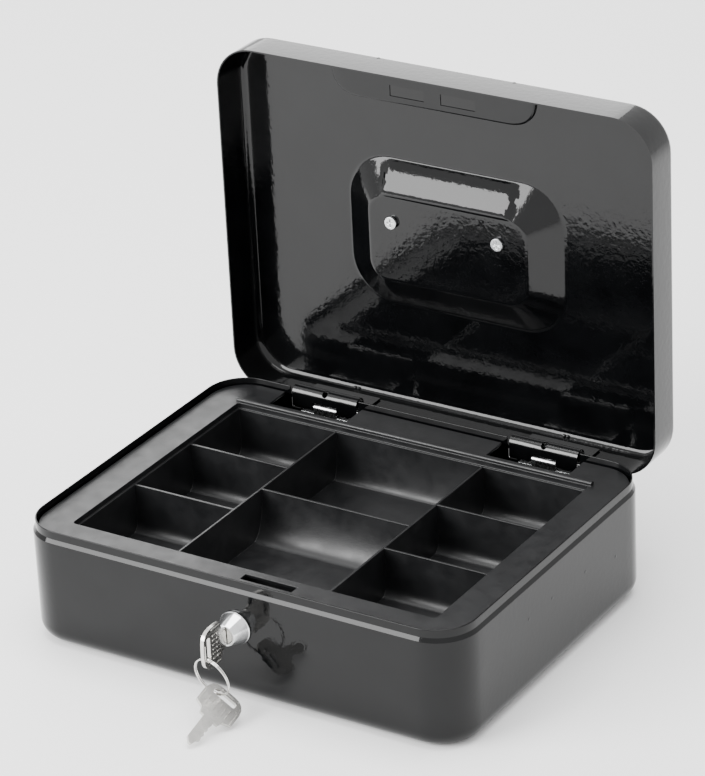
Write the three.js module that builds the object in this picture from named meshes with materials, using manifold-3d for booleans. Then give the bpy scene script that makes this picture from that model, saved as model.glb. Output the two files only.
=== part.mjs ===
// A portable steel cash box with its lid open: a pressed base and lid joined by two
// wrap-round hinges, a lift-out coin tray, a cam lock with two keys on a ring, and a
// folding carry handle in a recess on top of the lid.
// Millimetres. +X right along the front, +Y to the back, +Z up. The origin is the centre
// of the underside. The lid's own parts are laid out as if it were shut, then turned
// about the hinge line.
import * as THREE from "three";
import { mergeVertices } from "three/addons/utils/BufferGeometryUtils.js";
import Module from "manifold-3d";

const wasm = await Module();
wasm.setup();

// ---- driving dimensions ----
const WIDTH = 250;
const DEPTH = 192;
const SHEET = 0.8;
const GAP = 0.3;
const CORNER_R = 22;

const SHOULDER_Z = 57.8;
const SHOULDER_RISE = 2;
const LIP_INSET = 1.3;
const LIP_TOP_Z = 64;
const BASE_EDGE_R = 9;

const LID_RIM_Z = 59.6;
const LID_TOP_Z = 82.8;
const LID_EDGE_R = 5;
const LID_OPEN_DEG = 90;

const HINGE_X = 65;
const HINGE_Y = DEPTH / 2 - 0.6;
const HINGE_Z = 54.2;
const HINGE_LENGTH = 39;
const PIN_R = 1;
const KNUCKLE_R = 2.1;
const KNUCKLE_LENGTH = 14;
const STRAP_THICKNESS = 0.8;

const TRAY_TOP_Z = 60.6;
const TRAY_FLANGE = 1.6;
const TRAY_FLOOR_Z = 32;
const TRAY_FLOOR = 1.4;
const TRAY_WALL = 1.2;
const DIVIDER_TOP_Z = 57.8;
const TRAY_CLEARANCE = 1;
const OPENING_HALF_X = 103.5;
const OPENING_FRONT_Y = -77.5;
const OPENING_REAR_Y = 71;
const COLUMN_X = 43.3;
const ROW_Y = 25;
const SIDE_SCOOP = [4.5, 6];
const FRONT_SCOOP = [10.5, 25.8];
const REAR_SCOOP = [5, 25];

const LOCK_X = 3;
const LOCK_Z = 39;
const FACE_Y = -DEPTH / 2 - 9.5;
const BARREL_R = 6;
const PLUG_R = 4;
const BARREL_END_Y = -87.4;
const CAM_Y = -85.9;
const CAM_THICKNESS = 1.4;
const HOOK_R = 29.7;
const HOOK_WIDTH = 3;

const STRIKE_Z = 64.5;
const STRIKE_HALF = 58.5;
const STRIKE_REACH = 15.4;
const STRIKE_CORNER = 16;
const STRIKE_SLOT_X = 14.6;
const STRIKE_SLOT_HALF = 9.8;
const RECESS_DEPTH = 10;
const RECESS_X = 62.5;
const RECESS_Y = 40;
const RECESS_RUN = 17;
const RECESS_CORNER_R = 24;
const RECESS_MIDDLE = [1.2, -1];
const SCOOP_R = 11;
const SCOOP_HALF = 33;
const SCOOP_Y = -25.5;
const BRACKET_X = 31;
const BRACKET_Y = -10.5;
const HANDLE_AXIS_Z = LID_TOP_Z - 3.9;
const HANDLE_WIRE_R = 1.9;
const HANDLE_HALF = 38.5;
const HANDLE_REACH = 17.5;
const HANDLE_HANG_DEG = 100;

// ---- materials ----
const finish = (color, roughness, metalness) => (
  () => new THREE.MeshStandardMaterial({ color, roughness, metalness })
);
const blackPaint = finish(0x101112, 0.25, 0.2);
const blackPlastic = finish(0x1c1d1f, 0.6, 0);
const zinc = finish(0xc9cbcc, 0.35, 1);
const chrome = finish(0xe6e8ea, 0.12, 1);
const nickel = finish(0xd2d0ca, 0.28, 1);

// ---- solids: three.js geometry in, three.js geometry out, booleans between ----
function solid(geometry, move = [0, 0, 0], turn = [0, 0, 0]) {
  const bare = geometry.clone();
  for (const name of Object.keys(bare.attributes)) {
    if (name !== "position") bare.deleteAttribute(name);
  }
  bare.applyMatrix4(new THREE.Matrix4().makeRotationFromEuler(new THREE.Euler(...turn)));
  bare.translate(...move);
  const merged = mergeVertices(bare, 1e-4);
  return new wasm.Manifold(new wasm.Mesh({
    numProp: 3,
    vertProperties: new Float32Array(merged.attributes.position.array),
    triVerts: new Uint32Array(merged.index.array),
  }));
}

function geometryOf(manifold) {
  const mesh = manifold.getMesh();
  const geometry = new THREE.BufferGeometry();
  geometry.setAttribute("position", new THREE.BufferAttribute(new Float32Array(mesh.vertProperties), 3));
  geometry.setIndex(new THREE.BufferAttribute(new Uint32Array(mesh.triVerts), 1));
  geometry.computeVertexNormals();
  return geometry;
}

const join = (...parts) => parts.reduce((a, b) => a.add(b));
const cut = (body, ...tools) => tools.reduce((a, b) => a.subtract(b), body);

function block(x0, x1, y0, y1, z0, z1) {
  const middle = [(x0 + x1) / 2, (y0 + y1) / 2, (z0 + z1) / 2];
  return solid(new THREE.BoxGeometry(x1 - x0, y1 - y0, z1 - z0), middle);
}

function roundedRect(x0, x1, y0, y1, r) {
  const shape = new THREE.Shape();
  shape.moveTo(x0 + r, y0);
  shape.lineTo(x1 - r, y0);
  shape.absarc(x1 - r, y0 + r, r, -Math.PI / 2, 0);
  shape.absarc(x1 - r, y1 - r, r, 0, Math.PI / 2);
  shape.absarc(x0 + r, y1 - r, r, Math.PI / 2, Math.PI);
  shape.absarc(x0 + r, y0 + r, r, Math.PI, Math.PI * 1.5);
  return shape;
}

// A flat prism of an XY outline between two heights.
function prism(shape, z0, z1, curveSegments = 8) {
  const geometry = new THREE.ExtrudeGeometry(shape, { depth: z1 - z0, bevelEnabled: false, curveSegments });
  return solid(geometry, [0, 0, z0]);
}

// A prism with its round axis along Y: the outline is drawn in X and Z.
function prismAlongY(shape, y0, y1, curveSegments = 8) {
  const geometry = new THREE.ExtrudeGeometry(shape, { depth: y1 - y0, bevelEnabled: false, curveSegments });
  return solid(geometry, [0, y1, 0], [Math.PI / 2, 0, 0]);
}

// A prism along X: the outline is drawn in Y and Z.
function prismAlongX(shape, x0, x1, curveSegments = 8) {
  const geometry = new THREE.ExtrudeGeometry(shape, { depth: x1 - x0, bevelEnabled: false, curveSegments });
  const turn = new THREE.Matrix4().makeBasis(
    new THREE.Vector3(0, 1, 0), new THREE.Vector3(0, 0, 1), new THREE.Vector3(1, 0, 0));
  geometry.applyMatrix4(turn);
  return solid(geometry, [x0, 0, 0]);
}

function rod(r, length, move, turn = [0, 0, 0], segments = 24) {
  return solid(new THREE.CylinderGeometry(r, r, length, segments), move, turn);
}
const ALONG_X = [0, 0, Math.PI / 2];
const ALONG_Z = [Math.PI / 2, 0, 0];

// A centred block from z0 to z1 with round upright corners, whose lower edge is drawn in
// by `run` over a height of `rise`: one step is a slope, more make a quarter round.
function pressing(halfX, halfY, r, z0, z1, run, rise, steps) {
  const geometry = new THREE.ExtrudeGeometry(roundedRect(-halfX, halfX, -halfY, halfY, r), {
    depth: z1 - z0 - rise, curveSegments: 8,
    bevelEnabled: true, bevelThickness: rise, bevelSize: run, bevelOffset: -run, bevelSegments: steps,
  });
  const whole = solid(geometry, [0, 0, z0 + rise]);
  return cut(whole, block(-halfX - 1, halfX + 1, -halfY - 1, halfY + 1, z1, z1 + rise + 1));
}

// The same block with its drawn-in edge on top.
function dome(halfX, halfY, r, z0, z1, run, rise, steps) {
  const geometry = new THREE.ExtrudeGeometry(roundedRect(-halfX, halfX, -halfY, halfY, r), {
    depth: z1 - z0 - rise, curveSegments: 8,
    bevelEnabled: true, bevelThickness: rise, bevelSize: run, bevelOffset: -run, bevelSegments: steps,
  });
  const whole = solid(geometry, [0, 0, z0]);
  return cut(whole, block(-halfX - 1, halfX + 1, -halfY - 1, halfY + 1, z0 - rise - 1, z0));
}

const root = new THREE.Group();
const lidGroup = new THREE.Group();
lidGroup.position.set(0, HINGE_Y, HINGE_Z);
lidGroup.rotation.x = -THREE.MathUtils.degToRad(LID_OPEN_DEG);
const shutLid = new THREE.Group();
shutLid.position.set(0, -HINGE_Y, -HINGE_Z);
lidGroup.add(shutLid);
root.add(lidGroup);

function part(name, manifold, material, group = root) {
  const mesh = new THREE.Mesh(geometryOf(manifold), material);
  mesh.name = name;
  group.add(mesh);
  return mesh;
}

// ---- base ----
function necked(inset, bottom, top) {
  const x = WIDTH / 2 - inset;
  const y = DEPTH / 2 - inset;
  const r = CORNER_R - inset;
  const edge = BASE_EDGE_R - inset;
  const shoulder = SHOULDER_Z - inset * 0.4;
  return join(
    pressing(x, y, r, bottom, shoulder, edge, edge, 4),
    dome(x, y, r, shoulder - 5, shoulder + SHOULDER_RISE, LIP_INSET, SHOULDER_RISE, 1),
    prism(roundedRect(-x + LIP_INSET, x - LIP_INSET, -y + LIP_INSET, y - LIP_INSET, r - LIP_INSET), 30, top),
  );
}

function hingeWindow(x) {
  const half = HINGE_LENGTH / 2 + 1.5;
  return block(x - half, x + half, DEPTH / 2 - 6, DEPTH / 2 + 2, HINGE_Z - KNUCKLE_R - 0.6, LIP_TOP_Z + 2);
}

function baseShell() {
  const shell = cut(necked(0, 0, LIP_TOP_Z), necked(SHEET, SHEET, LIP_TOP_Z + 1));
  const lockHole = rod(BARREL_R + GAP, 8, [LOCK_X, -DEPTH / 2, LOCK_Z]);
  return cut(shell, hingeWindow(HINGE_X), hingeWindow(-HINGE_X), lockHole);
}

// An angle welded inside each side wall: the tray's flange rests on its ledge.
function trayRail(side) {
  const wall = WIDTH / 2 - SHEET - GAP;
  const ledgeTop = TRAY_TOP_Z - TRAY_FLANGE - GAP;
  const upright = block(wall - 1, wall, -62, 66, 35, SHOULDER_Z - 2);
  const joggle = block(wall - 2.4, wall, -62, 66, SHOULDER_Z - 3, SHOULDER_Z - 2);
  const neck = block(wall - 2.4, wall - 1.4, -62, 66, SHOULDER_Z - 3, ledgeTop);
  const ledge = block(wall - 9, wall - 1.4, -62, 66, ledgeTop - 1, ledgeTop);
  const rail = join(upright, joggle, neck, ledge);
  return side > 0 ? rail : rail.mirror([1, 0, 0]);
}

// ---- hinges ----
// Knuckle and leaf of the base: the leaf lies on the rear wall's inner face.
function hingeLeaf(x) {
  const inner = DEPTH / 2 - SHEET - GAP;
  const leaf = block(x - 15, x + 15, inner - 1, inner, 30, HINGE_Z - KNUCKLE_R - 1);
  const half = KNUCKLE_LENGTH / 2;
  const neck = block(x - half, x + half, inner - 1, inner, HINGE_Z - KNUCKLE_R - 2, HINGE_Z - 1);
  const knuckle = rod(KNUCKLE_R, KNUCKLE_LENGTH, [x, HINGE_Y, HINGE_Z], ALONG_X, 20);
  const bore = rod(PIN_R + GAP, KNUCKLE_LENGTH + 2, [x, HINGE_Y, HINGE_Z], ALONG_X, 16);
  return cut(join(leaf, neck, knuckle), bore);
}

// The lid's strap, drawn shut as a chain of plates and a half-round bend that reaches in
// under the tray's level and comes back over the cut-down lip.
function hingeStrap(x) {
  const t = STRAP_THICKNESS;
  const x0 = x - HINGE_LENGTH / 2;
  const x1 = x + HINGE_LENGTH / 2;
  const low = HINGE_Z - KNUCKLE_R;
  const bendY = HINGE_Y - 6;
  const bendR = 4;
  const bendZ = low + bendR;
  const wallY = DEPTH / 2 - SHEET - GAP;
  const ring = new THREE.Shape();
  ring.absarc(bendY, bendZ, bendR, Math.PI / 2, Math.PI * 1.5);
  ring.lineTo(HINGE_Y, low);
  ring.lineTo(HINGE_Y, low + t);
  ring.lineTo(bendY, low + t);
  ring.absarc(bendY, bendZ, bendR - t, Math.PI * 1.5, Math.PI / 2, true);
  ring.lineTo(wallY, bendZ + bendR - t);
  ring.lineTo(wallY, 76.2);
  ring.lineTo(wallY - t, 76.2);
  ring.lineTo(wallY - t, bendZ + bendR);
  const strap = prismAlongX(ring, x0, x1, 10);
  const knuckle = rod(KNUCKLE_R, HINGE_LENGTH, [x, HINGE_Y, HINGE_Z], ALONG_X, 20);
  const bore = rod(PIN_R + GAP, HINGE_LENGTH + 2, [x, HINGE_Y, HINGE_Z], ALONG_X, 16);
  const half = KNUCKLE_LENGTH / 2 + GAP;
  const middle = block(x - half, x + half, HINGE_Y - 3.2, HINGE_Y + 3, low - 1, HINGE_Z + 3);
  const notch = rod(1.6, 6, [x, bendY - bendR + 1, low + 1.2], ALONG_Z, 16);
  return cut(join(strap, knuckle), bore, middle, notch);
}

// ---- tray ----
function trayBody() {
  const flangeX = WIDTH / 2 - LIP_INSET - SHEET - TRAY_CLEARANCE;
  const flangeY = DEPTH / 2 - LIP_INSET - SHEET - TRAY_CLEARANCE;
  const flangeR = CORNER_R - LIP_INSET - SHEET - TRAY_CLEARANCE;
  const rim = roundedRect(-flangeX, flangeX, -flangeY, flangeY, flangeR);
  const flange = prism(rim, TRAY_TOP_Z - TRAY_FLANGE, TRAY_TOP_Z);
  const outX = OPENING_HALF_X + TRAY_WALL;
  const well = prism(
    roundedRect(-outX, outX, OPENING_FRONT_Y - TRAY_WALL, OPENING_REAR_Y + TRAY_WALL, 4),
    TRAY_FLOOR_Z - TRAY_FLOOR, TRAY_TOP_Z - 0.5, 3);
  const ribSection = roundedRect(OPENING_REAR_Y + 0.2, OPENING_REAR_Y + 3, TRAY_TOP_Z - 1, TRAY_TOP_Z + 2, 1);
  const rib = prismAlongX(ribSection, -outX, outX, 3);
  const step = prism(
    roundedRect(-OPENING_HALF_X, OPENING_HALF_X, OPENING_FRONT_Y, OPENING_REAR_Y, 2),
    DIVIDER_TOP_Z, TRAY_TOP_Z + 3, 3);
  const slot = block(1.2, 30.2, -87.2, -82, TRAY_TOP_Z - 5, TRAY_TOP_Z + 5);
  const notches = [-1, 1].map((side) => {
    const x = HINGE_X * side;
    return block(x - 23.5, x + 23.5, 77.5, DEPTH / 2, TRAY_TOP_Z - 5, TRAY_TOP_Z + 5);
  });
  return cut(join(flange, well, rib), step, slot, ...notches, ...trayPockets());
}

// One coin compartment, whose rear wall runs down into the floor in a quarter ellipse.
function pocket(x0, x1, y0, y1, [run, rise]) {
  const above = TRAY_TOP_Z + 4;
  const outline = new THREE.Shape();
  outline.moveTo(y0, TRAY_FLOOR_Z);
  outline.lineTo(y1 - run, TRAY_FLOOR_Z);
  outline.absellipse(y1 - run, TRAY_FLOOR_Z + rise, run, rise, -Math.PI / 2, 0);
  outline.lineTo(y1, above);
  outline.lineTo(y0, above);
  return prismAlongX(outline, x0, x1, 6);
}

function trayPockets() {
  const half = TRAY_WALL / 2;
  const left = -OPENING_HALF_X + TRAY_WALL;
  const front = OPENING_FRONT_Y + TRAY_WALL;
  const rear = OPENING_REAR_Y - TRAY_WALL;
  const sideRows = [[front, -ROW_Y - half], [-ROW_Y + half, ROW_Y - half], [ROW_Y + half, rear]];
  const sides = sideRows.flatMap(([y0, y1]) => [
    pocket(left, -COLUMN_X - half, y0, y1, SIDE_SCOOP),
    pocket(COLUMN_X + half, -left, y0, y1, SIDE_SCOOP),
  ]);
  const inner = COLUMN_X - half;
  return [
    ...sides,
    pocket(-inner, inner, front, -half, FRONT_SCOOP),
    pocket(-inner, inner, half, rear, REAR_SCOOP),
  ];
}

// ---- lock ----
// Turned housing: cone in front of the wall, barrel through it.
function lockHousing() {
  const bore = PLUG_R + GAP;
  const profile = [
    [bore, FACE_Y], [5.2, FACE_Y], [5.6, FACE_Y + 0.5], [8.3, -DEPTH / 2 - 1.5], [8.7, -DEPTH / 2 - 0.8],
    [8.7, -DEPTH / 2 - GAP], [BARREL_R, -DEPTH / 2 - GAP], [BARREL_R, BARREL_END_Y], [bore, BARREL_END_Y],
    [bore, FACE_Y],
  ].map(([r, y]) => new THREE.Vector2(r, y));
  return solid(new THREE.LatheGeometry(profile, 32), [LOCK_X, 0, LOCK_Z]);
}

function lockNut() {
  const hex = solid(new THREE.CylinderGeometry(9.6, 9.6, 2.6, 6), [LOCK_X, -93.3, LOCK_Z]);
  return cut(hex, rod(BARREL_R + GAP, 6, [LOCK_X, -93.3, LOCK_Z]));
}

const KEYWAY_X = 1.25;
const KEYWAY_Z = 3.45;
function lockPlug() {
  const middleY = (FACE_Y + BARREL_END_Y + 1.2) / 2;
  const body = rod(PLUG_R, BARREL_END_Y - FACE_Y + 0.6, [LOCK_X, middleY, LOCK_Z]);
  const tailEnd = CAM_Y + CAM_THICKNESS - 0.1;
  const tail = block(LOCK_X - 2, LOCK_X + 2, BARREL_END_Y - 1, tailEnd, LOCK_Z - 2, LOCK_Z + 2);
  const keyway = block(
    LOCK_X - KEYWAY_X, LOCK_X + KEYWAY_X, FACE_Y - 1, BARREL_END_Y - 1.2,
    LOCK_Z - KEYWAY_Z, LOCK_Z + KEYWAY_Z);
  const screwHole = rod(1.3, 5, [LOCK_X, CAM_Y, LOCK_Z], [0, 0, 0], 12);
  return cut(join(body, tail), keyway, screwHole);
}

// The cam lies in one upright plane behind the plug. Its arc-shaped hook is centred on
// the plug's axis, so it slides up through the tray's slot and over the strike plate.
function lockCam() {
  const hub = new THREE.Shape();
  hub.absarc(0, 0, 6, 0, Math.PI * 2);
  const tip = THREE.MathUtils.degToRad(5);
  const heel = THREE.MathUtils.degToRad(-62);
  const hook = new THREE.Shape();
  hook.absarc(0, 0, HOOK_R + HOOK_WIDTH / 2, heel, tip);
  hook.absarc(0, 0, HOOK_R - HOOK_WIDTH / 2, tip, heel, true);
  const arm = new THREE.Shape();
  const along = new THREE.Vector2(Math.cos(heel + 0.1), Math.sin(heel + 0.1));
  const across = new THREE.Vector2(-along.y, along.x);
  const at = (u, v) => along.clone().multiplyScalar(u).addScaledVector(across, v);
  [[0, -3.5], [HOOK_R, -3.5], [HOOK_R, 3.5], [0, 5]].forEach(([u, v], i) => {
    const p = at(u, v);
    if (i === 0) arm.moveTo(p.x, p.y);
    else arm.lineTo(p.x, p.y);
  });
  const plates = [hub, hook, arm].map((shape) => prismAlongY(shape, 0, CAM_THICKNESS, 16));
  const cam = join(...plates).translate([LOCK_X, CAM_Y, LOCK_Z]);
  const half = 2 + GAP;
  const square = block(LOCK_X - half, LOCK_X + half, CAM_Y - 1, CAM_Y + 3, LOCK_Z - half, LOCK_Z + half);
  return cut(cam, square);
}

function camScrew() {
  const head = rod(3.6, 1.6, [LOCK_X, CAM_Y + CAM_THICKNESS + GAP + 0.8, LOCK_Z]);
  const shank = rod(1, 3, [LOCK_X, CAM_Y + CAM_THICKNESS - 0.9, LOCK_Z], [0, 0, 0], 12);
  const slotY = CAM_Y + CAM_THICKNESS + 1.4;
  const slot = block(LOCK_X - 4, LOCK_X + 4, slotY, slotY + 3, LOCK_Z - 0.4, LOCK_Z + 0.4);
  return cut(join(head, shank), slot);
}

// A flat key in its own plane: blade along +X from the shoulder at x = 0, bow behind it,
// with a slot across the bow for the ring.
const KEY_THICKNESS = 1.9;
const KEY_BLADE = 17;
const KEY_BLADE_HALF = 3;
const BOW_FRONT = -2.8;
const BOW_REAR = -18.4;
const BOW_HALF = 10.6;
const SLOT_X = [-15.9, -12.9];
const SLOT_HALF = 6.6;
function flatKey() {
  const outline = new THREE.Shape();
  outline.moveTo(0, -KEY_BLADE_HALF);
  outline.lineTo(KEY_BLADE - 2.5, -KEY_BLADE_HALF);
  outline.lineTo(KEY_BLADE, -0.8);
  outline.lineTo(KEY_BLADE, 0.8);
  const teeth = 4;
  const pitch = (KEY_BLADE - 4) / teeth;
  for (let i = teeth - 1; i >= 0; i -= 1) {
    const x = 1.5 + pitch * i;
    outline.lineTo(x + pitch * 0.7, i % 2 ? 1.7 : 2.2);
    outline.lineTo(x + pitch * 0.3, KEY_BLADE_HALF);
  }
  outline.lineTo(0, KEY_BLADE_HALF);
  outline.lineTo(0, 5.2);
  outline.lineTo(BOW_FRONT, 6.2);
  outline.lineTo(BOW_FRONT - 1.8, BOW_HALF);
  outline.lineTo(BOW_REAR + 6.5, BOW_HALF);
  outline.quadraticCurveTo(BOW_REAR, BOW_HALF - 0.6, BOW_REAR, 3.5);
  outline.lineTo(BOW_REAR, -3.5);
  outline.quadraticCurveTo(BOW_REAR, -BOW_HALF + 0.6, BOW_REAR + 6.5, -BOW_HALF);
  outline.lineTo(BOW_FRONT - 1.8, -BOW_HALF);
  outline.lineTo(BOW_FRONT, -6.2);
  outline.lineTo(0, -5.2);
  outline.holes.push(roundedRect(...SLOT_X, -SLOT_HALF, SLOT_HALF, 1.3));
  return solid(
    new THREE.ExtrudeGeometry(outline, { depth: KEY_THICKNESS, bevelEnabled: false, curveSegments: 4 }),
    [0, 0, -KEY_THICKNESS / 2]);
}

// ---- lid, drawn shut ----
// The space pressed down into the lid's top: a tapered dish whose front slope has a finger
// scoop. `grow` gives the same form one sheet thickness further in.
function recess(grow) {
  const top = LID_TOP_Z - grow;
  const shape = roundedRect(-RECESS_X, RECESS_X, -RECESS_Y, RECESS_Y, RECESS_CORNER_R);
  const geometry = new THREE.ExtrudeGeometry(shape, {
    depth: 0.5, curveSegments: 6, bevelSegments: 1,
    bevelEnabled: true, bevelThickness: RECESS_DEPTH, bevelSize: RECESS_RUN, bevelOffset: -RECESS_RUN,
  });
  const dish = solid(geometry, [0, 0, top]);
  const r = SCOOP_R + grow;
  const scoop = rod(r, (SCOOP_HALF + grow) * 2, [0, SCOOP_Y, top - RECESS_DEPTH + r], ALONG_X, 28);
  const roof = block(-WIDTH, WIDTH, -DEPTH, DEPTH, top + 0.4, top + 30);
  return cut(join(dish, scoop), roof).translate([...RECESS_MIDDLE, 0]);
}

function lidShell() {
  const x = WIDTH / 2;
  const y = DEPTH / 2;
  const outer = cut(dome(x, y, CORNER_R, LID_RIM_Z, LID_TOP_Z, LID_EDGE_R, LID_EDGE_R, 4), recess(0));
  const inner = dome(
    x - SHEET, y - SHEET, CORNER_R - SHEET, LID_RIM_Z - 1, LID_TOP_Z - SHEET,
    LID_EDGE_R - SHEET, LID_EDGE_R - SHEET, 4);
  const shell = cut(outer, cut(inner, recess(SHEET)));
  const floorZ = LID_TOP_Z - RECESS_DEPTH;
  const holes = [-BRACKET_X, BRACKET_X].map((holeX) => rod(1.7, 8, [holeX, BRACKET_Y, floorZ], ALONG_Z, 16));
  return cut(shell, ...holes);
}

// An angle inside the lid's front wall: the cam hooks through one slot of its shelf.
function strikePlate() {
  const frontY = -DEPTH / 2 + SHEET + GAP;
  const half = STRIKE_HALF;
  const reach = frontY + STRIKE_REACH;
  const outline = new THREE.Shape();
  outline.moveTo(-half, frontY);
  outline.lineTo(half, frontY);
  outline.quadraticCurveTo(half, reach, half - STRIKE_CORNER, reach);
  outline.lineTo(-half + STRIKE_CORNER, reach);
  outline.quadraticCurveTo(-half, reach, -half, frontY);
  const shelf = prism(outline, STRIKE_Z, STRIKE_Z + SHEET, 8);
  const upright = block(-half, half, frontY, frontY + SHEET, STRIKE_Z, LID_TOP_Z - 4.5);
  const slots = [-STRIKE_SLOT_X, STRIKE_SLOT_X].map((x) => (
    block(x - STRIKE_SLOT_HALF, x + STRIKE_SLOT_HALF, -89, -83.2, STRIKE_Z - 2, STRIKE_Z + 3)
  ));
  return cut(join(shelf, upright), ...slots);
}

// A saddle for one end of the carry handle, with a blind hole below for its screw.
function handleBracket(side) {
  const x = BRACKET_X * side;
  const bottom = LID_TOP_Z - RECESS_DEPTH + GAP;
  const outline = new THREE.Shape();
  outline.moveTo(BRACKET_Y - 5, bottom);
  outline.lineTo(BRACKET_Y + 5, bottom);
  outline.lineTo(BRACKET_Y + 3.2, HANDLE_AXIS_Z);
  outline.absarc(BRACKET_Y, HANDLE_AXIS_Z, 3.2, 0, Math.PI);
  const saddle = prismAlongX(outline, x - 4, x + 4, 10);
  const bore = rod(HANDLE_WIRE_R + GAP, 20, [x, BRACKET_Y, HANDLE_AXIS_Z], ALONG_X, 20);
  const screwHole = rod(1.5, 4, [x, BRACKET_Y, bottom + 0.6], ALONG_Z, 16);
  return cut(saddle, bore, screwHole);
}

function handleScrew(side) {
  const x = BRACKET_X * side;
  const under = LID_TOP_Z - RECESS_DEPTH - SHEET - GAP;
  const head = rod(3.4, 1.7, [x, BRACKET_Y, under - 0.85], ALONG_Z, 24);
  const shank = rod(1.2, 3.2, [x, BRACKET_Y, under + 1], ALONG_Z, 12);
  const arms = [
    block(x - 2, x + 2, BRACKET_Y - 0.4, BRACKET_Y + 0.4, under - 3, under - 0.9),
    block(x - 0.4, x + 0.4, BRACKET_Y - 2, BRACKET_Y + 2, under - 3, under - 0.9),
  ];
  return cut(join(head, shank), ...arms);
}

// The bail, drawn folded with its pivot line on the X axis and its grip towards -Y. Each
// row below is a corner of the wire and the length its bend takes from both sides.
function handleGeometry() {
  const corners = [
    [-BRACKET_X + 3, 0, 0], [-HANDLE_HALF, 0, 3], [-HANDLE_HALF, -HANDLE_REACH, 5],
    [HANDLE_HALF, -HANDLE_REACH, 5], [HANDLE_HALF, 0, 3], [BRACKET_X - 3, 0, 0],
  ].map(([x, y, bend]) => ({ at: new THREE.Vector3(x, y, 0), bend }));
  const towards = (from, to) => (
    from.at.clone().add(to.at.clone().sub(from.at).setLength(from.bend))
  );
  const path = new THREE.CurvePath();
  corners.slice(1).forEach((corner, i) => {
    const next = corners[i + 2];
    const start = towards(corner, corners[i]);
    path.add(new THREE.LineCurve3(towards(corners[i], corner), start));
    if (next) path.add(new THREE.QuadraticBezierCurve3(start, corner.at, towards(corner, next)));
  });
  const circle = new THREE.Shape();
  circle.absarc(0, 0, HANDLE_WIRE_R, 0, Math.PI * 2);
  return new THREE.ExtrudeGeometry(circle, {
    steps: 64, extrudePath: path, curveSegments: 6, bevelEnabled: false,
  });
}

// ---- assembly ----
part("base_shell", baseShell(), blackPaint());
for (const [name, side] of [["left", -1], ["right", 1]]) {
  const x = HINGE_X * side;
  part(`tray_rail_${name}`, trayRail(side), blackPaint());
  part(`hinge_leaf_${name}`, hingeLeaf(x), zinc());
  part(`hinge_pin_${name}`, rod(PIN_R, HINGE_LENGTH + 1.6, [x, HINGE_Y, HINGE_Z], ALONG_X, 16), zinc());
  part(`hinge_strap_${name}`, hingeStrap(x), blackPaint(), shutLid);
  part(`handle_bracket_${name}`, handleBracket(side), zinc(), shutLid);
  part(`handle_screw_${name}`, handleScrew(side), zinc(), shutLid);
}
part("coin_tray", trayBody(), blackPlastic());
part("lock_housing", lockHousing(), chrome());
part("lock_nut", lockNut(), zinc());
part("lock_plug", lockPlug(), chrome());
part("lock_cam", lockCam(), zinc());
part("cam_screw", camScrew(), zinc());
part("lid_shell", lidShell(), blackPaint(), shutLid);
part("strike_plate", strikePlate(), blackPaint(), shutLid);

const handle = part("carry_handle", solid(handleGeometry()), chrome(), shutLid);
handle.position.set(0, BRACKET_Y, HANDLE_AXIS_Z);
handle.rotation.x = -THREE.MathUtils.degToRad(HANDLE_HANG_DEG);

// Sets one point of a key's plane on a point in space, with the blade along one direction
// and the width of the bow along another.
function placeKey(mesh, [u, v], at, blade, across) {
  const x = new THREE.Vector3(...blade).normalize();
  const z = x.clone().cross(new THREE.Vector3(...across)).normalize();
  const y = z.clone().cross(x);
  mesh.quaternion.setFromRotationMatrix(new THREE.Matrix4().makeBasis(x, y, z));
  mesh.position.copy(at).addScaledVector(x, -u).addScaledVector(y, -v);
}

const slotMiddle = (SLOT_X[0] + SLOT_X[1]) / 2;
const shoulder = new THREE.Vector3(LOCK_X, FACE_Y - 0.6, LOCK_Z);
placeKey(part("key_inserted", flatKey(), nickel()), [0, 0], shoulder, [0, 1, 0], [0, 0, 1]);

// The ring hangs in the slot of that key's bow, turned a little and leaning in towards
// the wall.
const RING_R = 10.4;
const RING_WIRE = 0.8;
const RING_TURN = THREE.MathUtils.degToRad(-9);
const RING_LEAN = THREE.MathUtils.degToRad(12);
const ringWire = solid(new THREE.TorusGeometry(RING_R, RING_WIRE, 8, 40), [0, -RING_R, 0]);
const ring = part("key_ring", ringWire, nickel());
ring.position.set(LOCK_X, shoulder.y + slotMiddle, LOCK_Z - SLOT_HALF + GAP + RING_WIRE);
ring.rotation.set(Math.PI / 2 + RING_LEAN, 0, RING_TURN, "ZYX");
ring.updateMatrixWorld();

// The spare key hangs near the bottom of the ring with its tip just off the ground.
const HANG_ANGLE = THREE.MathUtils.degToRad(8);
const hang = ring.localToWorld(
  new THREE.Vector3(Math.sin(HANG_ANGLE) * RING_R, -RING_R - Math.cos(HANG_ANGLE) * RING_R, 0));
const spare = part("key_spare", flatKey(), nickel());
placeKey(spare, [slotMiddle, -3.4], hang, [-0.01, -0.964, -0.265], [0.765, 0.158, -0.625]);

export default root;
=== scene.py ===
"""Looks for the open steel cash box: enamelled base and lid, moulded coin tray, chrome cam
lock with two keys on a ring, wrap-round hinges and a folding carry handle. Shapes are drawn
in millimetres; the lid's pieces are drawn as if it were shut and then laid open."""
import math

import bmesh
import bpy
from mathutils import Matrix, Vector


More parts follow.
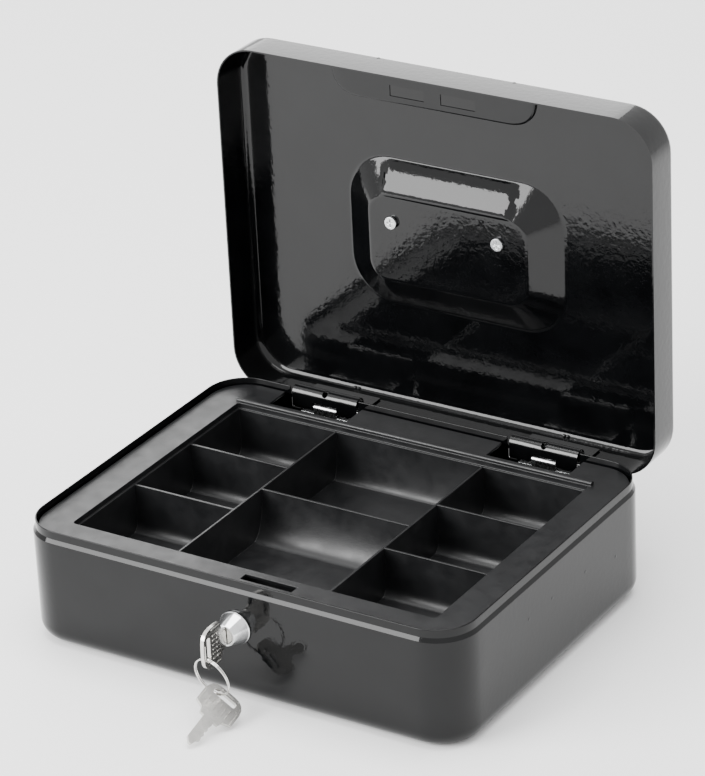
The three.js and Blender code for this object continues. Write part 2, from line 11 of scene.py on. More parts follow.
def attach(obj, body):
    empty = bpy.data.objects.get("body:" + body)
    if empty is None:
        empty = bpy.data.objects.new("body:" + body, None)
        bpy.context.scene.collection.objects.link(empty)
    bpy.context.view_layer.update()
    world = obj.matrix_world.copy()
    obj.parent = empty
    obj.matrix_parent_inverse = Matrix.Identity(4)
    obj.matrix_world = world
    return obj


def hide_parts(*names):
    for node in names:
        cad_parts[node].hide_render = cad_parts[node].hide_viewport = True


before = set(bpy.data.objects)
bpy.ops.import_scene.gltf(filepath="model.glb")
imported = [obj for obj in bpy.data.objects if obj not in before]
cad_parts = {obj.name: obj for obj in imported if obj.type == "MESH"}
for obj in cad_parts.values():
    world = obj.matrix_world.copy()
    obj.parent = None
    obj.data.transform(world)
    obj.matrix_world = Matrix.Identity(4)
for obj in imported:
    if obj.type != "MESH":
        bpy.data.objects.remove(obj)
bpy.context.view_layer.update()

MM = 0.001

# ---- sizes, in millimetres ----
WIDTH = 250.0
DEPTH = 192.0
SHEET = 0.8
GAP = 0.3
CORNER_R = 22.0

BASE_EDGE_R = 9.0
SHOULDER_Z = 57.8
SHOULDER_RISE = 2.0
LIP_INSET = 1.3
LIP_TOP_Z = 64.0
LID_RIM_Z = 59.6
LID_TOP_Z = 82.8
LID_EDGE_R = 5.0
SEAM_Y = -79.0
SEAM_HALF = 0.15
SEAM_TOP_Z = 77.0

HINGE_X = 65.0
HINGE_Y = DEPTH / 2 - 0.6
HINGE_Z = 54.2
HINGE_LENGTH = 39.0
KNUCKLE_R = 2.1
PIN_BORE_R = 1.3
KNUCKLE_HALF = 7.0
LEAF_HALF = 15.0
LEAF_LOW_Z = 30.0
LEAF_TOP_Z = 51.1
LEAF_THICKNESS = 1.0

RECESS_X = 62.5
RECESS_Y = 40.0
RECESS_CORNER_R = 24.0
RECESS_CORNER_TAPER = 0.82
RECESS_DEPTH = 10.0
RECESS_RUN = 17.0
RECESS_MIDDLE = (1.2, -1.0)
RECESS_RIM_WIDTH = 7.0
SCOOP_HALF = 36.0
SCOOP_END_RUN = 2.6
SCOOP_DEPTH = 1.9

STRIKE_Z = 64.5
STRIKE_HALF = 58.5
STRIKE_REACH = 15.4
STRIKE_CORNER = 16.0
STRIKE_ROLL_R = 1.1
STRIKE_TOP_Z = 78.3
STRIKE_SLOT_X = 14.6
STRIKE_SLOT_HALF = 9.8
STRIKE_SLOT_FRONT_Y = -89.0
STRIKE_SLOT_BACK_Y = -83.2

BRACKET_Y = -10.5
HANDLE_AXIS_Z = 78.9
HANDLE_STUB = 28.0
HANDLE_HALF = 38.5
HANDLE_REACH = 17.5
HANDLE_WIRE_R = 1.9
HANDLE_HANG_DEG = 100.0

LOCK_X = 3.0
LOCK_Z = 39.0
FACE_Y = -105.5
BARREL_END_Y = -87.4
BARREL_R = 6.0
BARREL_BORE_R = 4.3
CONE_FACE_R = 5.35
CONE_FOOT_R = 8.7

KEY_HALF_THICKNESS = 0.9
SLOT_MIDDLE = -14.4
RING_R = 10.4
RING_WIRE_R = 0.4
RING_TOP_Z = 33.5


# ---- camera ----
def make_camera():
    """A long lens in front, right of and above the box, rolled a little."""
    place = Vector((0.9288, -1.4114, 0.9475))
    azimuth, elevation, roll = (math.radians(a) for a in (32.96, 26.03, -2.81))
    look = Vector((-math.sin(azimuth) * math.cos(elevation),
                   math.cos(azimuth) * math.cos(elevation),
                   -math.sin(elevation)))
    right = look.cross(Vector((0, 0, 1))).normalized()
    up = right.cross(look)
    turned_right = right * math.cos(roll) + up * math.sin(roll)
    turned_up = up * math.cos(roll) - right * math.sin(roll)
    data = bpy.data.cameras.new("camera")
    data.sensor_width = 36.0
    data.lens = 179.68
    data.clip_start, data.clip_end = 0.05, 50.0
    camera = bpy.data.objects.new("camera", data)
    basis = Matrix((turned_right, turned_up, -look)).transposed()
    camera.matrix_world = Matrix.Translation(place) @ basis.to_4x4()
    bpy.context.scene.collection.objects.link(camera)
    bpy.context.scene.camera = camera


make_camera()


# ---- drawing helpers ----
def laid_open(point):
    """From the lid's own drawing, as if shut, to where it lies when open."""
    x, y, z = point
    return x, HINGE_Y + (z - HINGE_Z), HINGE_Z - (y - HINGE_Y)


def box_laid_open(x0, x1, y0, y1, z0, z1):
    """The same for a box, given and returned as its limits along X, Y and Z."""
    _, near, high = laid_open((0, y0, z0))
    _, far, low = laid_open((0, y1, z1))
    return x0, x1, near, far, low, high


def finish_mesh(bm, name, body, material, replaces=(), sharp=30.0, lid=False):
    """Makes a piece of a mesh drawn in millimetres; a lid's piece is laid open first."""
    if lid:
        for v in bm.verts:
            v.co = Vector(laid_open(v.co))
    bmesh.ops.scale(bm, vec=(MM, MM, MM), verts=bm.verts)
    bmesh.ops.recalc_face_normals(bm, faces=bm.faces)
    mesh = bpy.data.meshes.new(name)
    bm.to_mesh(mesh)
    bm.free()
    mesh.polygons.foreach_set("use_smooth", [True] * len(mesh.polygons))
    mesh.set_sharp_from_angle(angle=math.radians(sharp))
    mesh.materials.append(material)
    piece = bpy.data.objects.new(name, mesh)
    bpy.context.scene.collection.objects.link(piece)
    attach(piece, body)
    if replaces:
        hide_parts(*replaces)
    return piece


def bevelled(piece, width, angle):
    """Breaks the edges of a piece that are sharper than an angle in degrees."""
    mod = piece.modifiers.new("bevel", "BEVEL")
    mod.width = width * MM
    mod.segments = 2
    mod.limit_method = "ANGLE"
    mod.angle_limit = math.radians(angle)
    mod.harden_normals = True
    mod.use_clamp_overlap = True


def rounded_path(points, steps=5):
    """A polyline of (a, b) or (a, b, radius) with each stated corner turned into an arc."""
    path = []
    for i, point in enumerate(points):
        here = Vector(point[:2])
        radius = point[2] if len(point) > 2 else 0.0
        if not radius or i in (0, len(points) - 1):
            path.append(tuple(here))
            continue
        back = (Vector(points[i - 1][:2]) - here).normalized()
        ahead = (Vector(points[i + 1][:2]) - here).normalized()
        half = back.angle(ahead) / 2
        reach = radius / math.tan(half)
        centre = here + (back + ahead).normalized() * (radius / math.sin(half))
        first = here + back * reach - centre
        sweep = math.pi - 2 * half
        sign = 1 if first.y * back.x - first.x * back.y > 0 else -1
        for k in range(steps + 1):
            a = sign * sweep * k / steps
            path.append((centre.x + first.x * math.cos(a) - first.y * math.sin(a),
                         centre.y + first.x * math.sin(a) + first.y * math.cos(a)))
    return path


STEPS_ALONG_X = 40
STEPS_ALONG_Y = 28
STEPS_ROUND = 12
OUTLINE_CORNERS = (
    (1, -1, -90, STEPS_ALONG_Y), (1, 1, 0, STEPS_ALONG_X),
    (-1, 1, 90, STEPS_ALONG_Y), (-1, -1, 180, STEPS_ALONG_X))


def outline(half_x, half_y, r, middle=(0.0, 0.0)):
    """A rounded rectangle, always with the same number of points in the same order."""
    r = max(min(r, half_x - 0.01, half_y - 0.01), 0.05)
    cx, cy = middle
    points = []
    for i, (sx, sy, start, count) in enumerate(OUTLINE_CORNERS):
        x0, y0 = sx * (half_x - r), sy * (half_y - r)
        for k in range(STEPS_ROUND + 1):
            a = math.radians(start + 90.0 * k / STEPS_ROUND)
            points.append((cx + x0 + r * math.cos(a), cy + y0 + r * math.sin(a)))
        tx, ty, next_start, _ = OUTLINE_CORNERS[(i + 1) % 4]
        x1, y1 = tx * (half_x - r), ty * (half_y - r)
        a = math.radians(next_start)
        ex, ey = cx + x1 + r * math.cos(a), cy + y1 + r * math.sin(a)
        bx, by = points[-1]
        for k in range(1, count):
            t = k / count
            points.append((bx + (ex - bx) * t, by + (ey - by) * t))
    return points


def walled(inset, z):
    """The outline of the box's walls at a height, stepped in from the outside."""
    return [(x, y, z) for x, y in outline(WIDTH / 2 - inset, DEPTH / 2 - inset, CORNER_R - inset)]


def loft(bm, loops):
    """A skin over a row of closed loops, with a face over the first and the last."""
    rows = [[bm.verts.new(p) for p in loop] for loop in loops]
    for a, b in zip(rows, rows[1:]):
        n = len(a)
        for i in range(n):
            j = (i + 1) % n
            bm.faces.new((a[i], a[j], b[j], b[i]))
    bm.faces.new(rows[0][::-1])
    bm.faces.new(rows[-1])


def lathe(bm, profile, centre, segments=64, axis="Y"):
    """A closed profile of (radius, along) turned round an axis through centre."""
    rows = []
    for r, t in profile:
        row = []
        for k in range(segments):
            a = 2 * math.pi * k / segments
            u, v = r * math.cos(a), r * math.sin(a)
            offset = (t, u, v) if axis == "X" else (u, t, v)
            row.append(bm.verts.new([c + o for c, o in zip(centre, offset)]))
        rows.append(row)
    for a, b in zip(rows, rows[1:] + rows[:1]):
        for i in range(segments):
            j = (i + 1) % segments
            bm.faces.new((a[i], a[j], b[j], b[i]))


def box(bm, x0, x1, y0, y1, z0, z1):
    """A box between its limits along X, Y and Z."""
    middle = Matrix.Translation(((x0 + x1) / 2, (y0 + y1) / 2, (z0 + z1) / 2))
    bmesh.ops.create_cube(bm, size=1.0, matrix=middle @ Matrix.Diagonal((x1 - x0, y1 - y0, z1 - z0, 1)))


END_ROUNDING = (0.25, 0.7)


def tube(bm, path, radius, sides):
    """A round wire along a list of points, with its ends rounded over."""
    points = [Vector(p) for p in path]
    last = len(points) - 1
    normal = (points[1] - points[0]).normalized().orthogonal().normalized()
    frames = []
    for i, point in enumerate(points):
        along = (points[min(i + 1, last)] - points[max(i - 1, 0)]).normalized()
        normal = (normal - along * normal.dot(along)).normalized()
        frames.append((point, along, normal, along.cross(normal)))

    def ring(frame_at, share, ahead):
        """One ring of the wire, or with a share under 1, one of an end's rounding."""
        point, along, up, side = frame_at
        centre = point + along * radius * (1 - share) * ahead
        size = radius * share ** 0.5
        angles = [2 * math.pi * k / sides for k in range(sides)]
        return [centre + (up * math.cos(a) + side * math.sin(a)) * size for a in angles]

    rings = [ring(frames[0], share, -1) for share in END_ROUNDING]
    rings += [ring(f, 1.0, 0) for f in frames]
    rings += [ring(frames[-1], share, 1) for share in END_ROUNDING[::-1]]
    loft(bm, rings)


def cut_boxes(piece, boxes):
    """Cuts boxes (mm: x0, x1, y0, y1, z0, z1) out of a finished piece."""
    for x0, x1, y0, y1, z0, z1 in boxes:
        bm = bmesh.new()
        box(bm, x0 * MM, x1 * MM, y0 * MM, y1 * MM, z0 * MM, z1 * MM)
        cutter_mesh = bpy.data.meshes.new("cutter")
        bm.to_mesh(cutter_mesh)
        bm.free()
        cutter = bpy.data.objects.new("cutter", cutter_mesh)
        bpy.context.scene.collection.objects.link(cutter)
        mod = piece.modifiers.new("cut", "BOOLEAN")
        mod.object = cutter
        mod.solver = "EXACT"
        bpy.context.view_layer.update()
        graph = bpy.context.evaluated_depsgraph_get()
        made = bpy.data.meshes.new_from_object(piece.evaluated_get(graph))
        piece.modifiers.clear()
        piece.data = made
        bpy.data.objects.remove(cutter)
    piece.data.polygons.foreach_set("use_smooth", [True] * len(piece.data.polygons))
    piece.data.set_sharp_from_angle(angle=math.radians(30))


def dressed(node, body, material, width=0.15, sharp=32.0):
    """A CAD node's own shape with its flat faces joined up and its edges broken."""
    bm = bmesh.new()
    bm.from_mesh(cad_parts[node].data)
    bmesh.ops.remove_doubles(bm, verts=bm.verts, dist=2e-6)
    bmesh.ops.dissolve_limit(bm, angle_limit=math.radians(0.5), verts=bm.verts, edges=bm.edges)
    bmesh.ops.scale(bm, vec=(1 / MM, 1 / MM, 1 / MM), verts=bm.verts)
    piece = finish_mesh(bm, "look_" + node, body, material, (node,), sharp)
    bevelled(piece, width, sharp)


# ---- materials ----
class Nodes:
    """Short forms for the node tree of one material."""

    def __init__(self, name):
        self.material = bpy.data.materials.new(name)
        self.material.use_nodes = True
        self.tree = self.material.node_tree
        self.shader = self.tree.nodes["Principled BSDF"]
        coords = self.add("ShaderNodeTexCoord")
        self.place = coords.outputs["Object"]

    def add(self, kind, **values):
        node = self.tree.nodes.new(kind)
        for key, value in values.items():
            if hasattr(node, key):
                setattr(node, key, value)
            else:
                node.inputs[key.replace("_", " ")].default_value = value
        return node

    def link(self, a, b):
        self.tree.links.new(a, b)

    def noise(self, scale, detail=2.0, roughness=0.5):
        node = self.add("ShaderNodeTexNoise", Scale=scale, Detail=detail, Roughness=roughness)
        self.link(self.place, node.inputs["Vector"])
        return node.outputs["Fac"]

    def ramp(self, value, low, high, out_low=0.0, out_high=1.0):
        node = self.add(
            "ShaderNodeMapRange", From_Min=low, From_Max=high, To_Min=out_low, To_Max=out_high)
        self.link(value, node.inputs["Value"])
        return node.outputs["Result"]

    def bump(self, height, distance, strength=1.0, below=None):
        node = self.add("ShaderNodeBump", Strength=strength, Distance=distance)
        self.link(height, node.inputs["Height"])
        if below is not None:
            self.link(below, node.inputs["Normal"])
        return node.outputs["Normal"]

    def colour(self, value, low, high):
        node = self.add("ShaderNodeMix", data_type="RGBA")
        first, second = [socket for socket in node.inputs if socket.type == "RGBA"]
        first.default_value = (*low, 1)
        second.default_value = (*high, 1)
        self.link(value, node.inputs["Factor"])
        return next(socket for socket in node.outputs if socket.type == "RGBA")

    def set(self, **values):
        for key, value in values.items():
            self.shader.inputs[key.replace("_", " ")].default_value = value

    def feed(self, socket, key):
        self.link(socket, self.shader.inputs[key])


def enamel(name, peel=0.00005, peel_scale=420.0, gloss=0.07, shine=0.26):
    """Gloss black stove enamel: orange peel, dust nibs and a slightly uneven gloss."""
    m = Nodes(name)
    m.set(IOR=1.5, Specular_IOR_Level=shine)
    dark = m.ramp(m.noise(60.0, 3.0), 0.3, 0.7)
    m.feed(m.colour(dark, (0.0012, 0.0013, 0.0015), (0.0026, 0.0028, 0.0031)), "Base Color")
    m.feed(m.ramp(m.noise(90.0, 4.0), 0.3, 0.7, gloss, gloss + 0.05), "Roughness")
    peel_normal = m.bump(m.noise(peel_scale, 2.0), peel)
    nibs = m.ramp(m.noise(1500.0, 1.0), 0.66, 0.8)
    m.feed(m.bump(nibs, 0.00002, 0.6, peel_normal), "Normal")
    return m.material


def tray_plastic():
    """Fine-grained black polystyrene with faint flow marks and an uneven sheen."""
    m = Nodes("tray_plastic")
    m.set(IOR=1.5, Specular_IOR_Level=0.5)
    flow = m.ramp(m.noise(45.0, 5.0, 0.6), 0.35, 0.7)
    m.feed(m.colour(flow, (0.0035, 0.0037, 0.0042), (0.0075, 0.0078, 0.0085)), "Base Color")
    m.feed(m.ramp(m.noise(130.0, 4.0), 0.3, 0.7, 0.33, 0.46), "Roughness")
    m.feed(m.bump(m.noise(2600.0, 2.0), 0.00005), "Normal")
    return m.material


def plated(name, colour, rough, scratch=0.00001):
    """Plated metal, slightly uneven in tone, gloss and surface."""
    m = Nodes(name)
    m.set(Metallic=1.0)
    low = tuple(c * 0.86 for c in colour)
    m.feed(m.colour(m.ramp(m.noise(240.0, 4.0), 0.3, 0.7), low, colour), "Base Color")
    m.feed(m.ramp(m.noise(500.0, 5.0), 0.3, 0.7, rough, rough + 0.06), "Roughness")
    m.feed(m.bump(m.noise(1800.0, 3.0), scratch), "Normal")
    return m.material


ENAMEL = enamel("base_enamel", 0.00004, 420.0, 0.035)
LID_ENAMEL = enamel("lid_enamel", 0.00007, 330.0, 0.05, 0.34)
STRIKE_ENAMEL = enamel("strike_enamel", 0.00004, 500.0, 0.08, 0.3)
HINGE_ENAMEL = enamel("hinge_enamel", 0.00003, 600.0, 0.14, 0.6)
PLASTIC = tray_plastic()
CHROME = plated("lock_chrome", (0.82, 0.83, 0.84), 0.08)
PLUG = plated("plug_chrome", (0.74, 0.73, 0.7), 0.16)
ZINC = plated("bright_zinc", (0.62, 0.63, 0.64), 0.24, 0.000004)
NICKEL = plated("key_nickel", (0.64, 0.63, 0.605), 0.22, 0.000008)
WIRE = plated("ring_nickel", (0.78, 0.77, 0.75), 0.12)


# ---- base ----
def base_body():
    """The drawn shell, from the middle of its underside over the lip and back down inside."""
    neck_z = SHOULDER_Z + SHOULDER_RISE
    path = rounded_path([
        (16, 0), (0, 0, BASE_EDGE_R), (0, SHOULDER_Z, 0.8), (LIP_INSET, neck_z, 0.5),
        (LIP_INSET, LIP_TOP_Z, 0.36), (LIP_INSET + SHEET, LIP_TOP_Z, 0.36),
        (LIP_INSET + SHEET, neck_z - 0.3, 0.5), (SHEET, SHOULDER_Z - 0.4, 0.5),
        (SHEET, SHEET, BASE_EDGE_R - SHEET), (16, SHEET)], 7)
    bm = bmesh.new()
    loft(bm, [walled(inset, z) for inset, z in path])
    piece = finish_mesh(bm, "base_body", "base", ENAMEL, ("base_shell",))
    half = HINGE_LENGTH / 2 + 1.5
    low = HINGE_Z - KNUCKLE_R - 0.6
    near, far = DEPTH / 2 - 8, DEPTH / 2 + 3
    high = LIP_TOP_Z + 6
    cut_boxes(piece, [(x - half, x + half, near, far, low, high) for x in (-HINGE_X, HINGE_X)])


# ---- lid ----
SLOPE_STEP = 1.2


def lid_loops(skin):
    """Outlines from the rim to the floor of the recess, some millimetres in from the outside."""
    r = LID_EDGE_R - skin
    top = LID_TOP_Z - skin
    wall = rounded_path([(skin, LID_RIM_Z), (skin, top, r), (12, top)], 8)
    loops = [walled(inset, z) for inset, z in wall]
    slope = rounded_path([
        (-RECESS_RIM_WIDTH, top), (-skin * 0.4, top, 4.0 + skin),
        (RECESS_RUN - skin * 0.4, top - RECESS_DEPTH, 5.0 - skin),
        (RECESS_RUN + 9, top - RECESS_DEPTH)], 9)
    outside = loops[-1]
    around = RECESS_RIM_WIDTH
    inside = outline(RECESS_X + around, RECESS_Y + around, RECESS_CORNER_R + around, RECESS_MIDDLE)
    for t in (0.25, 0.5, 0.75):
        loops.append([
            (a[0] + (b[0] - a[0]) * t, a[1] + (b[1] - a[1]) * t, top) for a, b in zip(outside, inside)])
    dense = []
    for (a0, z0), (a1, z1) in zip(slope, slope[1:]):
        count = max(1, int(abs(a1 - a0) / SLOPE_STEP))
        dense += [(a0 + (a1 - a0) * k / count, z0 + (z1 - z0) * k / count) for k in range(count)]
    dense.append(slope[-1])
    for off, z in dense:
        r = RECESS_CORNER_R - off * RECESS_CORNER_TAPER
        flat = outline(RECESS_X - off, RECESS_Y - off, r, RECESS_MIDDLE)
        loops.append([(x, y, scooped(x, y, z)) for x, y in flat])
    return loops


def smooth(t):
    """An S-shaped step from 0 to 1."""
    t = max(0.0, min(1.0, t))
    return t * t * (3 - 2 * t)


def scooped(x, y, z):
    """The finger scoop: the front slope of the recess is pressed a little deeper."""
    down = (y - RECESS_MIDDLE[1] + RECESS_Y) / RECESS_RUN
    if not 0 < down < 1:
        return z
    ends = 1 - smooth((abs(x) - SCOOP_HALF) / SCOOP_END_RUN)
    return z - SCOOP_DEPTH * ends * (1 - abs(2 * down - 1) ** 3)


def lid_body():
    """The lid's shell with its recess, and the butt seam in its right wall."""
    outer, inner = lid_loops(0.0), lid_loops(SHEET)
    bm = bmesh.new()
    loft(bm, outer[::-1] + inner)
    piece = finish_mesh(bm, "lid_body", "lid", LID_ENAMEL, ("lid_shell",), lid=True)
    side = WIDTH / 2
    cut_boxes(piece, [box_laid_open(
        side - 0.2, side + 1, SEAM_Y - SEAM_HALF, SEAM_Y + SEAM_HALF, LID_RIM_Z - 1.8, SEAM_TOP_Z)])


def hinge_leaf(side):
    """The base's half of a hinge: a plate on the rear wall, a neck and its knuckle."""
    x = HINGE_X if side == "right" else -HINGE_X
    wall = DEPTH / 2 - SHEET - GAP
    half = KNUCKLE_HALF
    bm = bmesh.new()
    inside = wall - LEAF_THICKNESS
    box(bm, x - LEAF_HALF, x + LEAF_HALF, inside, wall, LEAF_LOW_Z, LEAF_TOP_Z)
    box(bm, x - half, x + half, inside, wall - 0.05, LEAF_TOP_Z - 0.6, HINGE_Z - 1.2)
    knuckle = rounded_path([
        (PIN_BORE_R, -half), (KNUCKLE_R, -half, 0.2), (KNUCKLE_R, half, 0.2),
        (PIN_BORE_R, half), (PIN_BORE_R, -half)], 3)[:-1]
    lathe(bm, knuckle, (x, HINGE_Y, HINGE_Z), 40, "X")
    node = "hinge_leaf_" + side
    piece = finish_mesh(bm, "look_" + node, "base", ZINC, (node,), 30.0)
    bevelled(piece, 0.15, 50.0)


def bail():
    """The carry handle's wire, drawn flat and then turned about its pivot."""
    half, reach = HANDLE_HALF, HANDLE_REACH
    flat = rounded_path([
        (-HANDLE_STUB, 0), (-half, 0, 2.6), (-half, -reach, 4.4),
        (half, -reach, 4.4), (half, 0, 2.6), (HANDLE_STUB, 0)], 12)
    turn = -math.radians(HANDLE_HANG_DEG)
    path = [(u, BRACKET_Y + v * math.cos(turn), HANDLE_AXIS_Z + v * math.sin(turn)) for u, v in flat]
    bm = bmesh.new()
    tube(bm, path, HANDLE_WIRE_R, 32)
    finish_mesh(
        bm, "look_carry_handle", "handle", CHROME, ("carry_handle",), 40.0, lid=True)


MARK_R = 0.95
MARK_HEIGHT = 0.14


def marks(name, material, axis, points, lid=False):
    """Small swellings left by spot welds, flattened along one axis or left round."""
    bm = bmesh.new()
    for point in points:
        size = [MARK_R] * 3
        if axis:
            size["XYZ".index(axis)] = MARK_HEIGHT
        form = Matrix.Translation(point) @ Matrix.Diagonal((*size, 1))
        bmesh.ops.create_uvsphere(bm, u_segments=20, v_segments=12, radius=1.0, matrix=form)
    body = "lid" if lid else "base"
    finish_mesh(bm, "weld_marks_" + name, body, material, sharp=60.0, lid=lid)


def strike_body():
    """The strike angle: a shelf with a rolled D-shaped edge, two slots and an upright."""
    front = -DEPTH / 2 + SHEET + GAP
    half, reach = STRIKE_HALF, STRIKE_REACH
    bend = []
    for k in range(13):
        t = k / 12
        x = half * (1 - t) ** 2 + 2 * half * t * (1 - t) + (half - STRIKE_CORNER) * t * t
        bend.append((x, front + reach * (1 - (1 - t) ** 2)))
    edge = [(half, front - 0.01)] + bend
    edge += [(-x, y) for x, y in reversed(edge)]
    back_z = STRIKE_Z + SHEET
    section = rounded_path([
        (6, STRIKE_Z), (0, STRIKE_Z, STRIKE_ROLL_R), (0, STRIKE_Z + 2.7), (SHEET, STRIKE_Z + 2.7),
        (SHEET, back_z, 0.3), (6, back_z)], 6)
    bm = bmesh.new()
    rows = []
    for inset, z in section:
        fx, fy = (half - inset) / half, (reach - inset) / reach
        rows.append([bm.verts.new((x * fx, front + (y - front) * fy, z)) for x, y in edge])
    for a, b in zip(rows, rows[1:]):
        for i in range(len(edge) - 1):
            bm.faces.new((a[i], a[i + 1], b[i + 1], b[i]))
    bm.faces.new(rows[0][::-1])
    bm.faces.new(rows[-1])
    for i in (0, len(edge) - 1):
        bm.faces.new([row[i] for row in rows])
    box(bm, -half, half, front, front + SHEET, back_z + 0.2, STRIKE_TOP_Z)
    piece = finish_mesh(
        bm, "strike_body", "lid", STRIKE_ENAMEL, ("strike_plate",), 30.0, lid=True)
    slot = STRIKE_SLOT_HALF
    cut_boxes(piece, [
        box_laid_open(x - slot, x + slot, STRIKE_SLOT_FRONT_Y, STRIKE_SLOT_BACK_Y,
                      STRIKE_Z - 2.5, STRIKE_Z + 3.5)
        for x in (-STRIKE_SLOT_X, STRIKE_SLOT_X)])
    bevelled(piece, 0.22, 50.0)


# ---- lock, keys and ring ----
def lock_body():
    """The turned housing: a face ring, a long cone, a small foot and the barrel behind."""
    front = -DEPTH / 2
    bore, foot = BARREL_BORE_R, CONE_FOOT_R
    profile = rounded_path([
        (bore, front + 1), (bore, FACE_Y, 0.25), (CONE_FACE_R, FACE_Y, 0.3),
        (foot - 0.35, front - 1.5, 0.5), (foot, front - 1.0, 0.3), (foot, front - GAP),
        (BARREL_R, front - GAP), (BARREL_R, BARREL_END_Y, 0.4), (bore, BARREL_END_Y),
        (bore, front + 1)], 5)[:-1]
    bm = bmesh.new()
    lathe(bm, profile, (LOCK_X, 0, LOCK_Z), 96)
    finish_mesh(bm, "look_lock_housing", "base", CHROME, ("lock_housing",), 28.0)


SHOULDER = Vector((LOCK_X, FACE_Y - 0.6, LOCK_Z))
RING_TURN = Matrix.Rotation(math.radians(-9), 3, "Z") @ Matrix.Rotation(math.radians(102), 3, "X")
RING_TOP = Vector((LOCK_X, SHOULDER.y + SLOT_MIDDLE, RING_TOP_Z))


def hang_point():
    """Where the spare key's slot sits on the ring, a little past the lowest point."""
    a = math.radians(8)
    return RING_TOP + RING_TURN @ Vector((math.sin(a) * RING_R, -RING_R * (1 + math.cos(a)), 0))


def key_plane(slot_point, at, blade, across):
    """Turns a key's own flat coordinates (blade, width, thickness) into the object's."""
    x = Vector(blade).normalized()
    z = x.cross(Vector(across)).normalized()
    y = z.cross(x)
    origin = Vector(at) - x * slot_point[0] - y * slot_point[1]
    return lambda u, v, w: origin + x * u + y * v + z * w


def split_ring():
    """Two turns of round wire, one lying on the other."""
    turns, count = 1.96, 150
    path = []
    for k in range(count + 1):
        t = k / count
        a = 2 * math.pi * turns * t + 2.2
        rise = 0.42 * math.tanh((t - 0.5) * 14)
        path.append(RING_TOP + RING_TURN @ Vector(
            (RING_R * math.sin(a), -RING_R + RING_R * math.cos(a), rise)))
    bm = bmesh.new()
    tube(bm, path, RING_WIRE_R, 12)
    finish_mesh(bm, "look_key_ring", "ring", WIRE, ("key_ring",), 40.0)


def corners(u0, u1, v0, v1):
    """The four corners of a rectangle, in order."""
    return (u0, v0), (u1, v0), (u1, v1), (u0, v1)


def bow_relief(name, body, place):
    """Short raised bars and border strips struck on both faces of a key's bow."""
    rows = (-6.4, -4.0, -1.6, 0.8, 3.2, 5.6)
    strips = [(u, u + 2.6, v, v + 0.7) for u in (-11.0, -7.6) for v in rows]
    strips += [(-17.5, -16.9, -3.6, 3.6), (-11.6, -4.8, 9.2, 9.8), (-11.6, -4.8, -9.8, -9.2)]
    height, slant = 0.32, 0.14
    bm = bmesh.new()
    for face in (-1, 1):
        low = face * KEY_HALF_THICKNESS
        high = face * (KEY_HALF_THICKNESS + height)
        for u0, u1, v0, v1 in strips:
            foot = [bm.verts.new(place(u, v, low)) for u, v in corners(u0, u1, v0, v1)]
            inner = corners(u0 + slant, u1 - slant, v0 + slant, v1 - slant)
            top = [bm.verts.new(place(u, v, high)) for u, v in inner]
            bm.faces.new(foot[::-1])
            bm.faces.new(top)
            for i in range(4):
                j = (i + 1) % 4
                bm.faces.new((foot[i], foot[j], top[j], top[i]))
    finish_mesh(bm, "key_relief_" + name, body, NICKEL)


# ---- every piece ----
base_body()
lid_body()
for side in ("left", "right"):
    dressed("tray_rail_" + side, "base", ENAMEL)
    hinge_leaf(side)
    dressed("hinge_pin_" + side, "base", ZINC, 0.2)
    dressed("hinge_strap_" + side, "lid", HINGE_ENAMEL, 0.14)
    dressed("handle_bracket_" + side, "lid", ZINC, 0.4)
    dressed("handle_screw_" + side, "lid", ZINC, 0.3)
strike_body()
dressed("coin_tray", "tray", PLASTIC, 0.45)
lock_body()
dressed("lock_nut", "base", ZINC, 0.3)
dressed("lock_plug", "plug", PLUG, 0.15)
dressed("lock_cam", "plug", ZINC, 0.15)
dressed("cam_screw", "plug", ZINC, 0.2)
dressed("key_inserted", "key", NICKEL, 0.2)
dressed("key_spare", "spare", NICKEL, 0.2)
split_ring()
bow_relief("inserted", "key", key_plane((0, 0), SHOULDER, (0, 1, 0), (0, 0, 1)))
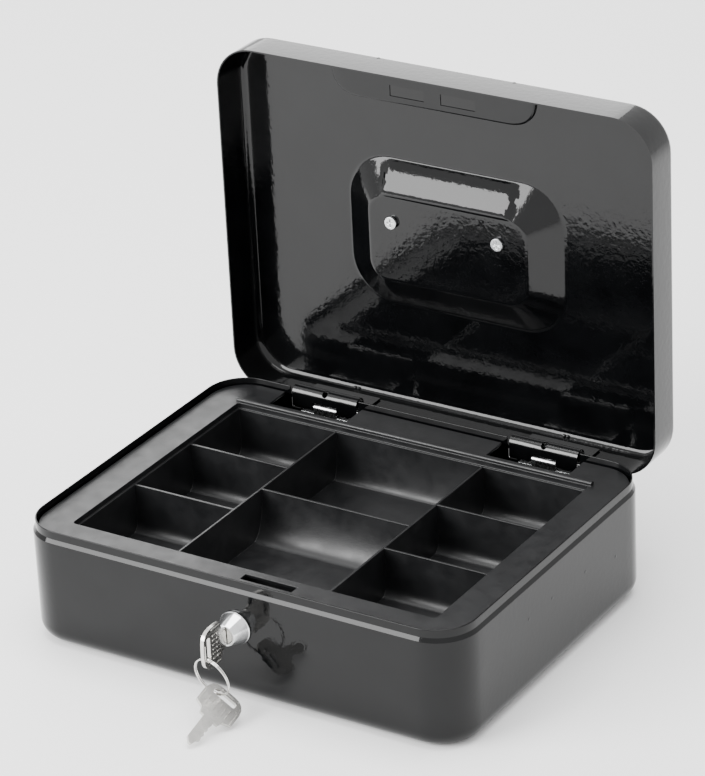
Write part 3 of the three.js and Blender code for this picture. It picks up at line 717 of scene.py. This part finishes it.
bow_relief("spare", "spare", key_plane(
    (SLOT_MIDDLE, -3.4), hang_point(), (-0.01, -0.964, -0.265), (0.765, 0.158, -0.625)))
bail()
marks("base", ENAMEL, "X", [
    (WIDTH / 2, y, z) for y, z in ((-28, 40.8), (-5.5, 41), (27.4, 39.2), (58, 32.6))])
marks("lid_front", LID_ENAMEL, "Y", [(x, -DEPTH / 2, 78.5) for x in (-39, 39)], lid=True)
marks("lid_corner", HINGE_ENAMEL, None, [
    (x + dx, 93.7, 80.5) for x in (-63.5, 61.5) for dx in (0, 2.1)], lid=True)


# ---- floor and light ----
def studio():
    """A pale floor, an even white surround and three softboxes."""
    bm = bmesh.new()
    bmesh.ops.create_grid(bm, x_segments=2, y_segments=2, size=6.0)
    mesh = bpy.data.meshes.new("floor")
    bm.to_mesh(mesh)
    bm.free()
    floor = bpy.data.objects.new("floor", mesh)
    m = Nodes("floor_white")
    m.set(Roughness=0.9, Specular_IOR_Level=0.1)
    m.feed(m.colour(m.noise(3.0), (0.9, 0.9, 0.9), (0.93, 0.93, 0.93)), "Base Color")
    mesh.materials.append(m.material)
    bpy.context.scene.collection.objects.link(floor)
    world = bpy.data.worlds.new("world")
    bpy.context.scene.world = world
    world.use_nodes = True
    back = world.node_tree.nodes["Background"]
    back.inputs["Color"].default_value = (1, 1, 1, 1)
    back.inputs["Strength"].default_value = 1.5
    lights = (
        ("overhead_softbox", (0.0, 0.1, 1.9), (0, 0, 0.05), 1.6, 1.2, 40.0),
        ("front_left_softbox", (-1.1, -1.5, 1.0), (0, 0, 0.12), 1.4, 1.2, 78.0),
        ("rear_left_softbox", (-1.5, 1.8, 1.15), (0, 0, 0.12), 1.9, 1.3, 25.0),
    )
    for name, place, target, width, height, power in lights:
        data = bpy.data.lights.new(name, "AREA")
        data.shape = "RECTANGLE"
        data.size, data.size_y = width, height
        data.energy = power
        lamp = bpy.data.objects.new(name, data)
        lamp.location = place
        aim = Vector(target) - Vector(place)
        lamp.rotation_euler = aim.to_track_quat("-Z", "Y").to_euler()
        bpy.context.scene.collection.objects.link(lamp)


studio()
